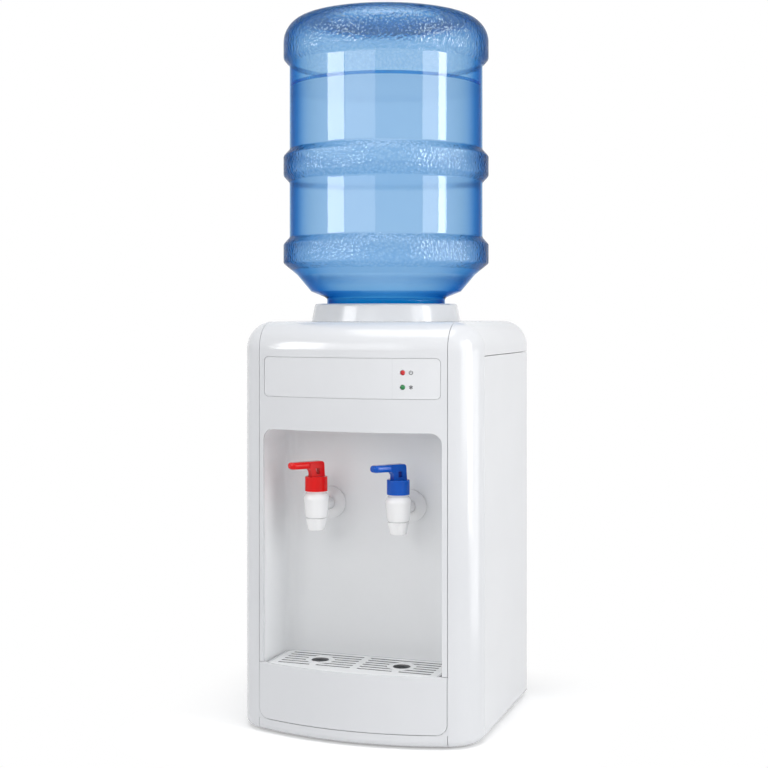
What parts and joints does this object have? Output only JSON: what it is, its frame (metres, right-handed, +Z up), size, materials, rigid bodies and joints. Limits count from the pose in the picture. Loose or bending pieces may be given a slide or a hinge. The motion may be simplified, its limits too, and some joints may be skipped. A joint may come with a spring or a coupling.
{
  "type": "water dispenser",
  "caption": "Countertop water dispenser with an upturned bottle on a collar, a dispensing bay with hot and cold lever taps, and a slide-out drip tray.",
  "frame": {"origin": "on the floor under the bottle's axis, which is the middle of the outline", "axes": "+Z up, -Y towards the user, who faces the taps, +X to that user's right"},
  "size_m": [0.314, 0.306, 0.914],
  "materials": {
    "white_gloss": "high gloss",
    "bay_white": "semi gloss",
    "tap_white": "gloss",
    "hot_red": "gloss",
    "cold_blue": "gloss",
    "red_lens": "clear tinted",
    "green_lens": "clear tinted",
    "bottle_blue": "clear tinted",
    "water": "clear",
    "cap_blue": "satin",
    "white_plastic": "satin",
    "steel": "brushed",
    "zinc_steel": "zinc plated",
    "aluminium": "extruded",
    "foam": "foam",
    "rubber": "matte",
    "silicone": "satin",
    "black_plastic": "satin",
    "board_green": "satin",
    "ceramic_white": "matte",
    "heater_mica": "matte",
    "switch_red": "gloss",
    "switch_green": "gloss"
  },
  "bodies": {
    "cabinet": {"front_fascia": "white_gloss", "left_pillar": "white_gloss", "right_pillar": "white_gloss", "left_side_panel": "white_gloss", "right_side_panel": "white_gloss", "top_cover": "white_gloss", "bottle_collar": "white_gloss", "display_panel": "white_gloss", "base_pan": "white_gloss", "niche_liner": "bay_white", "power_lamp": "red_lens", "cold_lamp": "green_lens", "lamp_board": "board_green", "hot_tap_body": "tap_white", "cold_tap_body": "tap_white", "hot_tap_flange": "tap_white", "cold_tap_flange": "tap_white", "hot_tap_bonnet": "hot_red", "cold_tap_bonnet": "cold_blue", "hot_tap_spring": "steel", "cold_tap_spring": "steel", "tap_pins": "steel", "tap_nuts": "white_plastic", "water_guard": "white_plastic", "cold_tank": "steel", "tank_lid": "white_plastic", "tank_foam": "foam", "tank_shelf": "zinc_steel", "cold_block": "aluminium", "peltier_module": "ceramic_white", "heat_sink": "aluminium", "fan_frame": "black_plastic", "hot_tank": "steel", "heater_band": "heater_mica", "thermostat": "black_plastic", "hot_tank_stand": "zinc_steel", "cold_hose": "silicone", "hot_hose": "silicone", "transfer_hose": "silicone", "drain_pipe": "silicone", "power_board": "board_green", "rear_panel": "white_plastic", "panel_screws": "zinc_steel", "switch_housings": "black_plastic", "cord_gland": "black_plastic", "rubber_feet": "rubber"},
    "bottle": {"water_bottle": "bottle_blue", "bottle_cap": "cap_blue", "bottle_water": "water"},
    "tray": {"drip_tray": "white_gloss"},
    "grille": {"drip_grille": "bay_white"},
    "hot_lever": {"hot_tap_lever": "hot_red"},
    "hot_stem": {"hot_tap_stem": "white_plastic"},
    "cold_lever": {"cold_tap_lever": "cold_blue"},
    "cold_stem": {"cold_tap_stem": "white_plastic"},
    "fan": {"fan_rotor": "black_plastic"},
    "heat_switch": {"heat_rocker": "switch_red"},
    "cool_switch": {"cool_rocker": "switch_green"},
    "drain_cap": {"drain_cap": "white_plastic"}
  },
  "joints": [
    {"name": "bottle_lift", "type": "slide", "parent": "cabinet", "child": "bottle", "axis": [0, 0, 1], "range_m": [0, 0.2]},
    {"name": "tray_pull", "type": "slide", "parent": "cabinet", "child": "tray", "axis": [0, -1, 0], "range_m": [0, 0.085]},
    {"name": "grille_lift", "type": "slide", "parent": "tray", "child": "grille", "axis": [0, 0, 1], "range_m": [0, 0.05]},
    {"name": "hot_lever_press", "type": "hinge", "parent": "cabinet", "child": "hot_lever", "pos_m": [-0.04968, -0.10609, 0.3175], "axis": [0.788, -0.6157, 0], "range_deg": [0, 10], "stiffness_Nm_per_rad": 0.6, "springref_deg": -8.59},
    {"name": "hot_stem_slide", "type": "slide", "parent": "cabinet", "child": "hot_stem", "axis": [0, 0, -1], "range_m": [0, 0.003], "deforming": ["hot_tap_spring"]},
    {"name": "cold_lever_press", "type": "hinge", "parent": "cabinet", "child": "cold_lever", "pos_m": [0.05892, -0.10609, 0.3175], "axis": [0.788, -0.6157, 0], "range_deg": [0, 10], "stiffness_Nm_per_rad": 0.6, "springref_deg": -8.59},
    {"name": "cold_stem_slide", "type": "slide", "parent": "cabinet", "child": "cold_stem", "axis": [0, 0, -1], "range_m": [0, 0.003], "deforming": ["cold_tap_spring"]},
    {"name": "fan_spin", "type": "hinge", "parent": "cabinet", "child": "fan", "pos_m": [0, 0.1245, 0.415], "axis": [0, 1, 0], "continuous": true},
    {"name": "heat_switch_tilt", "type": "hinge", "parent": "cabinet", "child": "heat_switch", "pos_m": [0.095, 0.138, 0.3], "axis": [1, 0, 0], "range_deg": [-8, 8]},
    {"name": "cool_switch_tilt", "type": "hinge", "parent": "cabinet", "child": "cool_switch", "pos_m": [0.095, 0.138, 0.27], "axis": [1, 0, 0], "range_deg": [-8, 8]},
    {"name": "drain_cap_pull", "type": "slide", "parent": "cabinet", "child": "drain_cap", "axis": [0, 1, 0], "range_m": [0, 0.02]}
  ],
  "couplings": [
    {"joint": "hot_stem_slide", "follows": "hot_lever_press", "m_per_rad": 0.0165},
    {"joint": "cold_stem_slide", "follows": "cold_lever_press", "m_per_rad": 0.0165}
  ]
}
